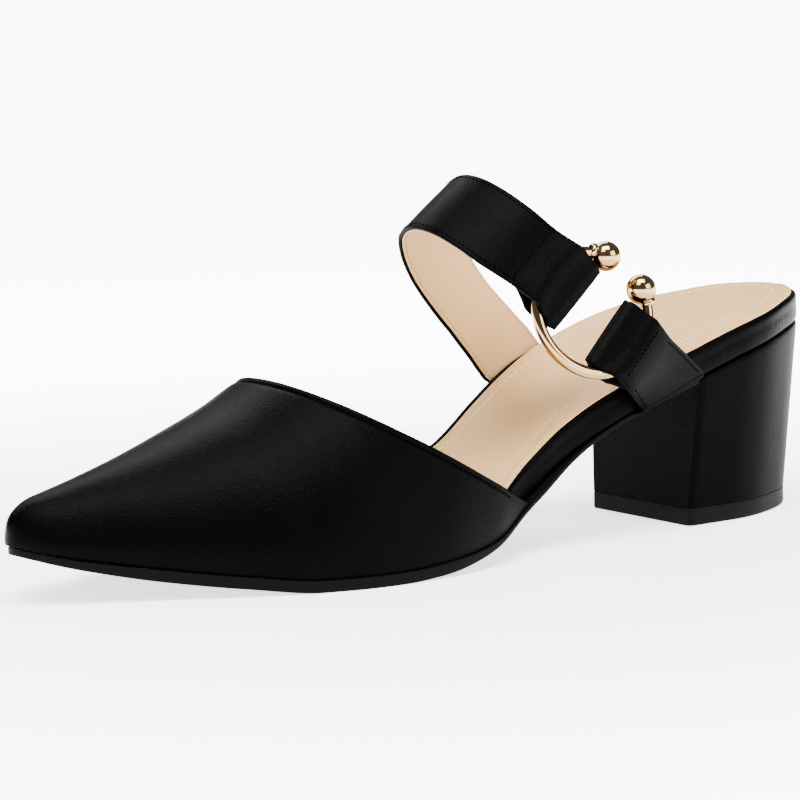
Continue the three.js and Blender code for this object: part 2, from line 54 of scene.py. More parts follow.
BOTTOM = [  # share of the length, share of the heel's lift, share of the toe spring
    (0, 1.01, 0), (0.04, 0.995, 0), (0.12, 0.92, 0), (0.22, 0.772, 0), (0.3, 0.636, 0), (0.38, 0.442, 0),
    (0.46, 0.212, 0), (0.54, 0.062, 0), (0.6, 0.014, 0), (0.65, 0, 0), (0.73, 0, 0), (0.8, 0, 0.15),
    (0.88, 0, 0.39), (0.95, 0, 0.7), (1, 0, 1)]
ARCH = [  # share of the length, share of the arch's lift
    (0, 0), (0.08, 0.12), (0.15, 0.6), (0.23, 1), (0.31, 0.85), (0.4, 0.45), (0.5, 0.12), (0.58, 0), (1, 0)]


def curve_through(places, values):
    """A smooth curve through a table's rows that never overshoots them."""
    xs = np.array(places, float)
    ys = np.array(values, float)
    slope = np.diff(ys) / np.diff(xs)
    tangent = np.concatenate([slope[:1], np.zeros(len(xs) - 2), slope[-1:]])
    for i in range(1, len(xs) - 1):
        a, b = slope[i - 1], slope[i]
        tangent[i] = 2 * a * b / (a + b) if a * b > 0 else 0.0

    def at(x):
        here = np.clip(x, xs[0], xs[-1])
        i = np.clip(np.searchsorted(xs, here, side="right") - 1, 0, len(xs) - 2)
        span = xs[i + 1] - xs[i]
        t = (here - xs[i]) / span
        return (ys[i] * (2 * t**3 - 3 * t**2 + 1) + tangent[i] * span * (t**3 - 2 * t**2 + t)
                + ys[i + 1] * (3 * t**2 - 2 * t**3) + tangent[i + 1] * span * (t**3 - t**2))
    return at


half_envelope = curve_through([r[0] * SOLE_LENGTH for r in OUTLINE], [r[1] for r in OUTLINE])
middle = curve_through([r[0] * SOLE_LENGTH for r in OUTLINE], [r[2] * BALL for r in OUTLINE])
underside = curve_through([r[0] * SOLE_LENGTH for r in BOTTOM],
                          [r[1] * HEEL_LIFT + r[2] * TOE_SPRING for r in BOTTOM])
arch_curve = curve_through([r[0] * SOLE_LENGTH for r in ARCH], [r[1] * ARCH_LIFT for r in ARCH])


def smoothstep(x, low, high):
    """0 below low, 1 above high and a soft step between."""
    t = np.clip((x - low) / (high - low), 0, 1)
    return t * t * (3 - 2 * t)


def round_end(share):
    """A quarter circle's rise, from 0 at an end to 1 a radius further in."""
    inside = np.clip(share, 0, 1)
    return np.sqrt(inside * (2 - inside))


def half_width(x, grow, heel_end, toe_end):
    """Half width of the outline grown by an amount, with its ends moved out by their own amounts."""
    heel = round_end((x + heel_end) / (SEAT_ROUND + heel_end))
    toe = round_end((SOLE_LENGTH + toe_end - x) / (TOE_ROUND + toe_end))
    return (half_envelope(x) + grow) * heel * toe


def steep(x):
    """How much longer the sloping bottom makes an upright measure of a thickness."""
    return np.hypot(1, (underside(x + 2) - underside(x - 2)) / 4)


def outsole_top(x):
    """Upper face of the outsole, which is thicker under the ball."""
    thick = 1.2 + 1.8 * smoothstep(x, 119, 150) - 1.2 * smoothstep(x, 215, SOLE_LENGTH)
    return underside(x) + steep(x) * thick


def on_arch(x, y, z):
    """A place of the bottom, raised at the inner side by the arch."""
    lift = arch_curve(x) * (0.5 - (y - middle(x)) / (2 * half_envelope(x)))
    return np.stack(np.broadcast_arrays(x, y, z + lift), -1)


def cosine(low, high, count, at_low=True, at_high=True):
    """Places along a piece, closer together at its rounded ends."""
    t = np.linspace(0, 1, count)
    if at_low and at_high:
        t = (1 - np.cos(np.pi * t)) / 2
    elif at_low:
        t = 1 - np.cos(np.pi / 2 * t)
    elif at_high:
        t = np.sin(np.pi / 2 * t)
    return low + (high - low) * t


def skin(name, rows, across_closed=True, cap_first=False, cap_last=False):
    """An object through rows of points, in millimetres of the last."""
    rows = np.asarray(rows, float)
    m, n = rows.shape[:2]
    points = (rows.reshape(-1, 3) - MIDDLE) / 1000
    faces = []
    for i in range(m - 1):
        for j in range(n if across_closed else n - 1):
            k = (j + 1) % n
            faces.append((i * n + j, i * n + k, (i + 1) * n + k, (i + 1) * n + j))
    if cap_first:
        faces.append(tuple(range(n))[::-1])
    if cap_last:
        faces.append(tuple((m - 1) * n + j for j in range(n)))
    mesh = bpy.data.meshes.new(name)
    mesh.from_pydata(points.tolist(), [], faces)
    mesh.update()
    mesh.shade_smooth()
    piece = bpy.data.objects.new(name, mesh)
    bpy.context.scene.collection.objects.link(piece)
    return piece


def soften(piece, degrees):
    """Welds a piece's doubled places, turns its faces out and keeps only its sharp edges sharp."""
    work = bmesh.new()
    work.from_mesh(piece.data)
    bmesh.ops.remove_doubles(work, verts=work.verts, dist=2e-6)
    bmesh.ops.recalc_face_normals(work, faces=work.faces)
    work.to_mesh(piece.data)
    work.free()
    piece.data.set_sharp_from_angle(angle=math.radians(degrees))


# Shared surface effects: the fine pebble of coated leather, and a slow unevenness of its sheen.
grain = bpy.data.node_groups.new("Leather grain", "ShaderNodeTree")
grain.interface.new_socket("Pebbles per metre", in_out="INPUT", socket_type="NodeSocketFloat")
grain.interface.new_socket("Height", in_out="OUTPUT", socket_type="NodeSocketFloat")
grain.interface.new_socket("Sheen", in_out="OUTPUT", socket_type="NodeSocketFloat")
g_in = grain.nodes.new("NodeGroupInput")
g_out = grain.nodes.new("NodeGroupOutput")
g_at = grain.nodes.new("ShaderNodeTexCoord")
g_warp = grain.nodes.new("ShaderNodeTexNoise")
g_warp.inputs["Scale"].default_value = 260
g_warp.inputs["Detail"].default_value = 2
g_mix = grain.nodes.new("ShaderNodeMix")
g_mix.data_type = "VECTOR"
g_mix.inputs["Factor"].default_value = 0.0015
g_cell = grain.nodes.new("ShaderNodeTexVoronoi")
g_cell.feature = "SMOOTH_F1"
g_cell.inputs["Smoothness"].default_value = 0.35
g_fine = grain.nodes.new("ShaderNodeTexNoise")
g_fine.inputs["Detail"].default_value = 3
g_double = grain.nodes.new("ShaderNodeMath")
g_double.operation = "MULTIPLY"
g_double.inputs[1].default_value = 2.3
g_sum = grain.nodes.new("ShaderNodeMath")
g_sum.operation = "MULTIPLY_ADD"
g_sum.inputs[1].default_value = 0.5
g_slow = grain.nodes.new("ShaderNodeTexNoise")
g_slow.inputs["Scale"].default_value = 38
g_slow.inputs["Detail"].default_value = 4
grain.links.new(g_at.outputs["Object"], g_warp.inputs["Vector"])
grain.links.new(g_at.outputs["Object"], g_mix.inputs[4])
grain.links.new(g_warp.outputs["Color"], g_mix.inputs[5])
grain.links.new(g_mix.outputs[1], g_cell.inputs["Vector"])
grain.links.new(g_in.outputs[0], g_cell.inputs["Scale"])
grain.links.new(g_in.outputs[0], g_double.inputs[0])
grain.links.new(g_double.outputs[0], g_fine.inputs["Scale"])
grain.links.new(g_at.outputs["Object"], g_fine.inputs["Vector"])
grain.links.new(g_fine.outputs["Fac"], g_sum.inputs[0])
grain.links.new(g_cell.outputs["Distance"], g_sum.inputs[2])
grain.links.new(g_sum.outputs[0], g_out.inputs["Height"])
grain.links.new(g_at.outputs["Object"], g_slow.inputs["Vector"])
grain.links.new(g_slow.outputs["Fac"], g_out.inputs["Sheen"])


def surface(name, colour, light, rough, rough_spread, pebbles, depth, specular=0.5, sheen=0.0):
    """A coated leather, thread or rubber: two close tones, pebbles of a given fineness, an uneven gloss."""
    made = bpy.data.materials.new(name)
    made.use_nodes = True
    nodes, links = made.node_tree.nodes, made.node_tree.links
    shader = nodes["Principled BSDF"]
    effect = nodes.new("ShaderNodeGroup")
    effect.node_tree = grain
    effect.inputs[0].default_value = pebbles
    tone = nodes.new("ShaderNodeMix")
    tone.data_type = "RGBA"
    tone.inputs[6].default_value = (*colour, 1)
    tone.inputs[7].default_value = (*light, 1)
    gloss = nodes.new("ShaderNodeMapRange")
    gloss.inputs["To Min"].default_value = rough - rough_spread
    gloss.inputs["To Max"].default_value = rough + rough_spread
    bump = nodes.new("ShaderNodeBump")
    bump.inputs["Strength"].default_value = 1.0
    bump.inputs["Distance"].default_value = depth
    links.new(effect.outputs["Sheen"], tone.inputs[0])
    links.new(tone.outputs[2], shader.inputs["Base Color"])
    links.new(effect.outputs["Sheen"], gloss.inputs["Value"])
    links.new(gloss.outputs["Result"], shader.inputs["Roughness"])
    links.new(effect.outputs["Height"], bump.inputs["Height"])
    links.new(bump.outputs["Normal"], shader.inputs["Normal"])
    shader.inputs["Specular IOR Level"].default_value = specular
    shader.inputs["Sheen Weight"].default_value = sheen
    return made


def dress(piece, made, slot, *nodes):
    """Gives a piece its material and lets it stand for CAD nodes; the slot is not used."""
    piece.data.materials.append(made)
    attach(piece, "root")
    if nodes:
        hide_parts(*nodes)


def plate(xs, half, low, high, round_low, round_high, mids):
    """Rings of a flat-lying piece with rounded lower and upper edges and points across its two faces."""
    rings = []
    for x, h, a, b in zip(xs, half, low, high):
        lo, hi = min(round_low, h), min(round_high, h)
        side = [(h - lo * (1 - math.sin(t)), a + min(round_low, (b - a) / 2) * (1 - math.cos(t)))
                for t in np.linspace(0, math.pi / 2, 5)]
        side += [(h - hi * (1 - math.cos(t)), b - min(round_high, (b - a) / 2) * (1 - math.sin(t)))
                 for t in np.linspace(0, math.pi / 2, 5)]
        across = np.linspace(-1, 1, mids + 2)[1:-1]
        ring = [(y, z) for y, z in side]
        ring += [(-(h - hi) * s, b) for s in across]
        ring += [(-y, z) for y, z in reversed(side)]
        ring += [((h - lo) * s, a) for s in across]
        ring = np.array(ring)
        rings.append(on_arch(np.full(len(ring), x), middle(x) + ring[:, 0], ring[:, 1]))
    return np.array(rings)


xs = cosine(53.8, SOLE_LENGTH - 0.9, 150, at_low=False)
outsole_rings = plate(xs, half_width(xs, 0.7, 0, -0.9), underside(xs), outsole_top(xs), 0.5, 0.25, 9)
outsole = skin("outsole_sheet", outsole_rings, cap_first=True)
soften(outsole, 50)
sole_rubber = surface("Sole rubber", (0.0012, 0.0012, 0.0013), (0.0022, 0.0022, 0.0023), 0.6, 0.08, 2600,
                      0.00003, specular=0.03)
dress(outsole, sole_rubber, "sole_rubber", "outsole")


# Footbed: a board covered with the upper's black leather, drawn round its edge as a soft rand and glued
# below. A soft crease parts the rand's rolled upper edge from its flatter lower band, and by the arch its
# inner edge stands up as a thin lip beside the sock.
RIM, WALL, TOE_INSET, TOPLINE_SIDE = 0.9, 1.8, 5, 113


def footbed_top(x):
    """Upper face of the footbed, thick at the seat and thin inside the upper."""
    return outsole_top(x) + GAP + steep(x) * (7.5 - 3.9 * smoothstep(x, TOPLINE_SIDE, 165))


xs = cosine(0, SOLE_LENGTH - TOE_INSET, 220)
narrow = (WALL + GAP + RIM) * smoothstep(xs, 80, TOPLINE_SIDE)
half = half_width(xs, RIM, 0, -TOE_INSET)
half = half - narrow * round_end(xs / SEAT_ROUND) * round_end((SOLE_LENGTH - TOE_INSET - xs) / 10)
low = outsole_top(xs) + GAP
high = footbed_top(xs)
rings = []
for x, h, a, b in zip(xs, half, low, high):
    tall = b - a
    profile = [(-1.3, 0.0), (-0.55, 0.02), (-0.16, 0.09), (-0.03, 0.2), (0.0, 0.36), (-0.06, 0.5),
               (-0.17, 0.58), (-0.1, 0.68), (-0.05, 0.78), (-0.14, 0.88), (-0.42, 0.955), (-0.85, 0.99),
               (-1.6, 1.0)]
    side = [(max(h + inset, 0), a + tall * up) for inset, up in profile]
    across = np.linspace(-1, 1, 9)[1:-1]
    lip = 1.7 * smoothstep(x, 66, 84) * (1 - smoothstep(x, 116, 130))
    raised = [(y, z + (z > a + 0.8 * tall) * lip * max(0, 1 - abs(h - y - 0.6) / 0.9)) for y, z in side]
    ring = side + [(-side[-1][0] * s, b) for s in across] + [(-y, z) for y, z in reversed(raised)]
    ring += [(side[0][0] * s, a) for s in across]
    ring = np.array(ring)
    rings.append(on_arch(np.full(len(ring), x), middle(x) + ring[:, 0], ring[:, 1]))
footbed = skin("footbed_cover", rings)
soften(footbed, 60)
black_leather = surface("Black leather", (0.0003, 0.0003, 0.00032), (0.0005, 0.0005, 0.00053), 0.4, 0.05,
                        1900, 0.00008, specular=0.015)
dress(footbed, black_leather, "upper_leather", "footbed")


# Sock: a sheet of soft tan lining leather glued on the footbed, with its edge pressed down. A row of cream
# thread lies in a shallow channel a little way in from the edge.
SOCK_BACK, SOCK_TOE = 2.2, -TOE_INSET - RIM
CHANNEL = 5.6
xs = cosine(SOCK_BACK, SOLE_LENGTH + SOCK_TOE, 260)
half = half_width(xs, 0, -SOCK_BACK, SOCK_TOE) - (WALL + GAP + RIM) * smoothstep(xs, 80, TOPLINE_SIDE)
half = np.maximum(half, 0)
base = footbed_top(xs) + GAP
inner_half = half_width(xs, -CHANNEL, -SOCK_BACK - CHANNEL, SOCK_TOE - CHANNEL)
rings = []
for x, h, a, chan in zip(xs, half, base, inner_half):
    shares = np.sin(np.linspace(-math.pi / 2, math.pi / 2, 57))
    y = h * shares
    rim = np.clip(h - np.abs(y), 0, None)
    top = a + 1.0 - 0.55 * np.exp(-(rim / 0.55) ** 2) - 0.26 * np.exp(-((np.abs(y) - chan) / 0.8) ** 2)
    trim = 1.0 * smoothstep(x, 70, 92) * (1 - smoothstep(x, 116, 135))
    y = np.where(y < 0, y * (1 - trim / max(h, trim + 1e-6)), y)
    upper_line = np.stack([y[::-1], top[::-1]], -1)
    lower_line = np.array([(y[0], a), (0, a), (h, a)])
    ring = np.concatenate([upper_line, lower_line])
    rings.append(on_arch(np.full(len(ring), x), middle(x) + ring[:, 0], ring[:, 1]))
sock = skin("sock_sheet", rings)
soften(sock, 70)
tan_leather = surface("Tan lining", (0.46, 0.268, 0.104), (0.5, 0.3, 0.122), 0.5, 0.07, 1900, 0.00003,
                      specular=0.08, sheen=0.03)
dress(sock, tan_leather, "lining_leather", "sock")


def stitches(name, places, normals, length, pause, radius):
    """A row of thread stitches along a line on a surface, each one a short bead that dips in at both ends."""
    places = np.asarray(places, float)
    normals = np.asarray(normals, float)
    walked = np.concatenate([[0], np.cumsum(np.linalg.norm(np.diff(places, axis=0), axis=1))])
    count = int(walked[-1] / (length + pause))
    step = walked[-1] / count
    points, faces = [], []
    profile = [(0, 0.25), (0.14, 0.8), (0.38, 1), (0.62, 1), (0.86, 0.8), (1, 0.25)]
    for i in range(count):
        start = i * step + pause * 0.5
        base = len(points)
        for share, wide in profile:
            s = start + share * (step - pause)
            at = np.array([np.interp(s, walked, places[:, k]) for k in range(3)])
            ahead = np.array([np.interp(s + 0.3, walked, places[:, k]) for k in range(3)])
            behind = np.array([np.interp(s - 0.3, walked, places[:, k]) for k in range(3)])
            up = np.array([np.interp(s, walked, normals[:, k]) for k in range(3)])
            along = (ahead - behind) / np.linalg.norm(ahead - behind)
            up = up - along * (up @ along)
            up = up / np.linalg.norm(up)
            side = np.cross(along, up)
            sink = (1 - wide) * radius * 1.1
            for k in range(6):
                turn = 2 * math.pi * k / 6
                points.append(at + up * (math.sin(turn) * radius * wide * 0.8 - sink + 0.25 * radius)
                              + side * math.cos(turn) * radius * wide)
        for r in range(len(profile) - 1):
            for k in range(6):
                a, b = base + r * 6 + k, base + r * 6 + (k + 1) % 6
                faces.append((a, b, b + 6, a + 6))
        faces.append(tuple(base + k for k in range(6))[::-1])
        faces.append(tuple(base + (len(profile) - 1) * 6 + k for k in range(6)))
    mesh = bpy.data.meshes.new(name)
    mesh.from_pydata(((np.array(points) - MIDDLE) / 1000).tolist(), [], faces)
    mesh.update()
    mesh.shade_smooth()
    piece = bpy.data.objects.new(name, mesh)
    bpy.context.scene.collection.objects.link(piece)
    soften(piece, 80)
    return piece


seam_x = cosine(SOCK_BACK + CHANNEL + 0.2, 176, 240, at_high=False)
seam_half = half_width(seam_x, -CHANNEL, -SOCK_BACK - CHANNEL, SOCK_TOE)
seam_half = seam_half - 2.7 * smoothstep(seam_x, 80, TOPLINE_SIDE)
inner_seam = on_arch(seam_x, middle(seam_x) - seam_half, footbed_top(seam_x) + GAP + 0.8)
outer_seam = on_arch(seam_x, middle(seam_x) + seam_half, footbed_top(seam_x) + GAP + 0.8)
seam = np.concatenate([inner_seam[::-1], outer_seam])
slope_up = np.tile([0.0, 0.0, 1.0], (len(seam), 1))
sock_seam = stitches("sock_seam", seam, slope_up, 1.5, 0.6, 0.25)
cream_thread = surface("Cream thread", (0.62, 0.48, 0.31), (0.7, 0.56, 0.38), 0.65, 0.05, 9000, 0.00004,
                       sheen=0.1)
dress(sock_seam, cream_thread, "lining_leather")


# Upper: one piece of black coated leather, lasted over a pointed toe, with a thin lining inside. It closes
# over the toes, and its topline runs from the sole on each side up to the throat. The edge is turned in and
# stitched.
THROAT, INSTEP = 177, 48.8
CROWN = [  # share of the length, ridge's height as a share of the instep's
    (0.4, 1.68), (0.52, 1.45), (0.6, 1.27), (0.66, 1.11), (0.71, 0.995), (0.75, 0.888), (0.795, 0.798),
    (0.86, 0.684), (0.925, 0.588), (0.975, 0.523), (1, 0.492)]
ridge = curve_through([r[0] * SOLE_LENGTH for r in CROWN], [r[1] * INSTEP for r in CROWN])


def upper_point(x, turn, inset):
    """The upper's surface: turn goes from the outer side over the ridge to the inner side."""
    tip = SOLE_LENGTH - inset
    foot = outsole_top(x) + GAP
    rise = (ridge(x) - inset - foot) * (0.5 + 0.5 * round_end((tip - x) / 8))
    height = rise * np.sin(turn) ** 0.92
    belly = 0.2 * rise
    bulge = 1.2 * height / belly * np.exp(1 - height / belly)
    half = (half_envelope(x) - inset + bulge) * round_end((tip - x) / TOE_ROUND)
    side = np.sign(np.cos(turn)) * np.abs(np.cos(turn)) ** 0.92
    lean = 2 * np.sin(turn) ** 2 * smoothstep(tip - x, 0, 0.3 * SOLE_LENGTH)
    return on_arch(x, middle(x) - lean + side * half, foot + height)


def topline_x(turn):
    """Where the topline crosses the line of a turn."""
    low, high = TOPLINE_SIDE, THROAT
    foot = outsole_top(TOPLINE_SIDE) + GAP
    for _ in range(40):
        x = (low + high) / 2
        share = min(max((x - TOPLINE_SIDE) / (THROAT - TOPLINE_SIDE), 0), 1)
        if upper_point(x, turn, 0)[..., 2] > foot + (ridge(THROAT) - foot) * share ** 1.12:
            low = x
        else:
            high = x
    return (low + high) / 2


turns = np.linspace(1e-9, math.pi - 1e-9, 121)
starts = np.array([topline_x(t) for t in turns])
shares = np.concatenate([np.linspace(0, 0.05, 18)[:-1], cosine(0.05, 1, 106, at_low=False)])
ALONG, TURN = np.meshgrid(shares, turns, indexing="ij")
outer = upper_point(starts + (SOLE_LENGTH - starts) * ALONG, TURN, 0)
inner = upper_point(starts + (SOLE_LENGTH - WALL - starts) * ALONG, TURN, WALL)


def unit(v):
    """Directions at length 1."""
    return v / np.maximum(np.linalg.norm(v, axis=-1, keepdims=True), 1e-9)


outward = unit(np.cross(np.gradient(outer, axis=1), np.gradient(outer, axis=0)))
outward *= np.sign(outward[40, 60, 2])
steps = np.linalg.norm(np.diff(outer, axis=0), axis=2)
down_line = np.concatenate([np.zeros((1, len(turns))), np.cumsum(steps, 0)])
# The turned edge is a little thicker, with a stitched groove below it and the faintest slack behind it.
STITCHED = 1.7
relief = 0.22 * np.exp(-((down_line - 0.5) / 0.7) ** 2) - 0.3 * np.exp(-((down_line - STITCHED) / 0.42) ** 2)
relief += 0.08 * np.exp(-((down_line - 3.4) / 1.3) ** 2)
for at_x, at_turn, long, wide, deep in [  # soft flex creases and hollows of the vamp
        (186, 0.55, 3.6, 0.5, -0.28), (181, 0.62, 3.0, 0.5, 0.16), (193, 0.42, 4.5, 0.42, 0.14),
        (200, 0.34, 6.0, 0.5, -0.16), (158, 0.5, 4.0, 0.35, -0.12), (226, 0.9, 9.0, 0.6, 0.12),
        (184, 2.55, 3.4, 0.5, -0.26), (179, 2.5, 3.0, 0.5, 0.14), (214, 1.3, 14, 0.5, -0.12)]:
    relief += deep * np.exp(-((outer[..., 0] - at_x) / long) ** 2 - ((TURN - at_turn) / wide) ** 2)
fade = smoothstep(SOLE_LENGTH - outer[..., 0], 0.5, 14) * smoothstep(np.sin(TURN), 0.02, 0.2)
outer = outer + outward * (relief * fade)[..., None]
rim = []
for angle in np.linspace(0, math.pi, 9)[1:-1]:
    ahead = unit(outer[0] - outer[1])
    centre = (outer[0] + inner[0]) / 2
    reach = np.linalg.norm(outer[0] - inner[0], axis=1, keepdims=True) / 2
    rim.append(centre + (outer[0] - centre) * math.cos(angle) + ahead * reach * 0.8 * math.sin(angle))
shell = np.concatenate([inner[:4][::-1], np.array(rim)[::-1], outer])
vamp = skin("upper_vamp", shell, across_closed=False)
soften(vamp, 75)
dress(vamp, black_leather, "upper_leather", "upper")
lining = skin("upper_lining", inner[3:], across_closed=False)
soften(lining, 75)
inside_leather = surface("Vamp lining", (0.3, 0.2, 0.12), (0.34, 0.23, 0.14), 0.7, 0.05, 2100, 0.00003,
                         sheen=0.05)
dress(lining, inside_leather, "lining_leather", "upper")

row_place, row_normal = [], []
for j in range(4, len(turns) - 4):
    i = int(np.searchsorted(down_line[:, j], STITCHED))
    part = (STITCHED - down_line[i - 1, j]) / (down_line[i, j] - down_line[i - 1, j])
    row_place.append(outer[i - 1, j] * (1 - part) + outer[i, j] * part + outward[i, j] * 0.04)
    row_normal.append(outward[i, j])
topline_seam = stitches("topline_seam", row_place, row_normal, 1.1, 0.4, 0.2)
# Black thread, partly its own black and partly painted shade: its colour and gloss sit below the leather's so
# that the stitches read as the dark pits they lie in.
black_thread_and_pit_shade = surface("Black thread with painted pit shade", (0.0002, 0.0002, 0.00021), (0.0003, 0.0003, 0.00032), 0.6, 0.06, 9000,
                       0.00004, specular=0.004)
dress(topline_seam, black_thread_and_pit_shade, "upper_leather")


# Heel block: a moulded block covered with thin black leather, flat in front and rounded behind, screwed to
# the seat. The leather is drawn round the two front edges and turned under at top and bottom.
FRONT_TOP, FRONT_BOTTOM, REAR_BOTTOM, BOTTOM_WIDTH = 53.5, 55.5, 4.2, 42.5
TIP_HEIGHT = 4.8


def seat_half(x):
    """Half width of the covered seat that the heel follows."""
    return half_width(x, RIM, 0, 0)


def heel_rings(levels, grow, low, count=90):
    """Horizontal rings of the heel at shares of its height, each standing out by its own amount, from the
    lowest height up."""
    scale = BOTTOM_WIDTH / (2 * float(seat_half(FRONT_TOP)))
    share = cosine(0, 1, count, at_high=False)
    rows = []
    for level, out in zip(levels, grow):
        top_x = FRONT_TOP * share
        x = (REAR_BOTTOM + (FRONT_BOTTOM - REAR_BOTTOM) * share) * (1 - level) + top_x * level
        wide = seat_half(top_x) * (scale + (1 - scale) * level)
        centre_y = middle(top_x)
        top_z = [on_arch(top_x, centre_y + sign * seat_half(top_x), outsole_top(top_x))[..., 2]
                 for sign in (1, -1)]
        soft = 1 - 0.03 * smoothstep(share, 0.965, 1)
        sides = [np.stack([x, centre_y + sign * wide * soft, low + (z - low) * level], -1)
                 for sign, z in zip((1, -1), top_z)]
        ring = np.concatenate([sides[0], sides[1][::-1][:-1]])
        centre = ring.mean(0)
        flat = (ring - centre) * [1, 1, 0]
        rows.append(ring + unit(flat) * out)
    return np.array(rows)


levels = [0, 0.002, 0.006, 0.03, 0.15, 0.3, 0.45, 0.6, 0.75, 0.88, 0.96, 0.985, 0.996, 1]
heel = skin("heel_cover", heel_rings(levels, [-0.3, -0.06, 0, 0, 0, 0, 0, 0, 0, 0, 0, -0.12, -0.4, -0.9],
                                     TIP_HEIGHT + 0.03), cap_first=True, cap_last=True)
soften(heel, 50)
heel_leather = surface("Heel cover", (0.0004, 0.0004, 0.00042), (0.0007, 0.0007, 0.00074), 0.45, 0.05, 2000,
                       0.00006, specular=0.01)
dress(heel, heel_leather, "heel_cover", "heel_block")


# Heel tip: a hard rubber top piece nailed under the heel, a touch lighter and duller than the leather.
tip_levels = heel_rings([0, 0, 0, 0, 0, 0], [-0.7, -0.25, 0, 0, -0.04, -0.2], 0)
for row, z in zip(tip_levels, (0, 0.12, 0.6, TIP_HEIGHT - 0.14, TIP_HEIGHT - 0.03, TIP_HEIGHT)):
    row[:, 2] = z
tip = skin("heel_tip_piece", tip_levels, cap_first=True, cap_last=True)
soften(tip, 50)
tip_rubber = surface("Tip rubber", (0.0016, 0.0016, 0.0017), (0.0026, 0.0026, 0.0027), 0.55, 0.06, 3000,
                     0.00003, specular=0.03)
dress(tip, tip_rubber, "tip_rubber", "heel_tip")


# Strap: a folded strip of black leather lined with tan, rooted under the footbed on the inner side. It arches
# over the instep, and its outer end is folded round the ring and stitched down across.
STRAP_RISE, STRAP_CENTRE, STRAP_ROOT = math.radians(37), 39, 75.5
STRAP_THICK = 1.8
across_strap = np.array([-math.cos(STRAP_RISE), 0, math.sin(STRAP_RISE)])
up_strap = np.array([math.sin(STRAP_RISE), 0, math.cos(STRAP_RISE)])
RING_RADIUS, WIRE, BALL_RADIUS = 16.2, 1.6, 4
STRAP_SPOKE, TAB_SPOKE = 94, -82
SEAM_RAMP, SEAM_RUN, FLARE = 1.4, 1.5, 1
BEND = STRAP_THICK / 2 + 0.6


def tail_z(x):
    """Height of a strip's tail on the outsole."""
    return float(outsole_top(x)) + GAP + STRAP_THICK / 2


def beside(x, sign):
    """Where a strip passes the footbed's edge: sign is 1 on the outer side and -1 on the inner."""
    edge = float(half_width(x, RIM, 0, -TOE_INSET))
    return float(middle(x)) + sign * (edge + GAP + 0.2 + STRAP_THICK / 2)


def loop_point(y, up, across):
    """A place in the strap's own leaning frame."""
    root_up = np.array([STRAP_ROOT, 0, tail_z(STRAP_ROOT)]) @ up_strap
    return np.array([0, y, 0]) + up_strap * (root_up + up) + across_strap * across


def turned(v, axis, degrees):
    """A direction turned about an axis."""
    a = math.radians(degrees)
    return v * math.cos(a) + np.cross(axis, v) * math.sin(a) + axis * (axis @ v) * (1 - math.cos(a))


ring_centre = loop_point(26.3, 30.9, -STRAP_CENTRE + 3.2)
ring_up = turned(up_strap, across_strap, -20)
ring_back = turned(across_strap, ring_up, 4)
ring_out = np.cross(ring_back, ring_up)


def spoke(degrees):
    """A direction from the ring's centre to its wire."""
    return ring_back * math.cos(math.radians(degrees)) + ring_up * math.sin(math.radians(degrees))


def root_path(x, sign, width):
    """The strip's tail under the footbed and its bend round the lower edge."""
    rear = on_arch(x - width / 4, beside(x - width / 4, sign), tail_z(x - width / 4))
    front = on_arch(x + width / 4, beside(x + width / 4, sign), tail_z(x + width / 4))
    half = unit(rear - front) * width / 2
    side, z = beside(x, sign), tail_z(x)
    flat = [(side - sign * (BEND + 9), z)]
    flat += [(side - sign * BEND * (1 - math.sin(t)), z + BEND * (1 - math.cos(t)))
             for t in np.linspace(0, math.pi / 2, 9)]
    return [(on_arch(x, y, h), half) for y, h in flat]


def fold_path(degrees, width, slack, slide):
    """The fold round the wire: out to the ring, round it, and back to the seam."""
    inward = spoke(degrees)
    wide = spoke(degrees - 90) * np.sign(width)
    half = abs(width) / 2
    room = WIRE + GAP + STRAP_THICK / 2
    seam_out = (STRAP_THICK + GAP) / 2
    far = RING_RADIUS + WIRE + GAP
    seam_at = far + SEAM_RAMP
    wire_edge = math.sqrt((RING_RADIUS - WIRE) ** 2 - (half + FLARE + abs(slide)) ** 2)
    bend_at = wire_edge - GAP - slack + room - STRAP_THICK / 2
    ramp = [(seam_at - SEAM_RAMP * t, seam_out + (room - seam_out) * float(smoothstep(t, 0, 1)))
            for t in np.linspace(0, 1, 7)]
    straight = [(far + (bend_at - far) * t, room + 0.35 * math.sin(math.pi * t))
                for t in (0.2, 0.4, 0.6, 0.8)]
    turn = [(bend_at - room * math.cos(a), room * math.sin(a))
            for a in np.linspace(math.pi / 2, -math.pi / 2, 21)]
    line = ramp + straight + turn
    line += [(f, -o) for f, o in reversed(ramp + straight)] + [(seam_at + SEAM_RUN, -seam_out)]
    path = []
    for f, o in line:
        flare = FLARE * min(max((seam_at - f) / (seam_at - bend_at), 0), 1)
        if o < 0:  # the return leaf is trimmed a little narrower towards its end
            flare -= 1.5 * float(smoothstep(f, far - 5, seam_at))
        path.append((ring_centre + inward * f + ring_out * o - wide * slide, wide * (half + flare)))
    return path


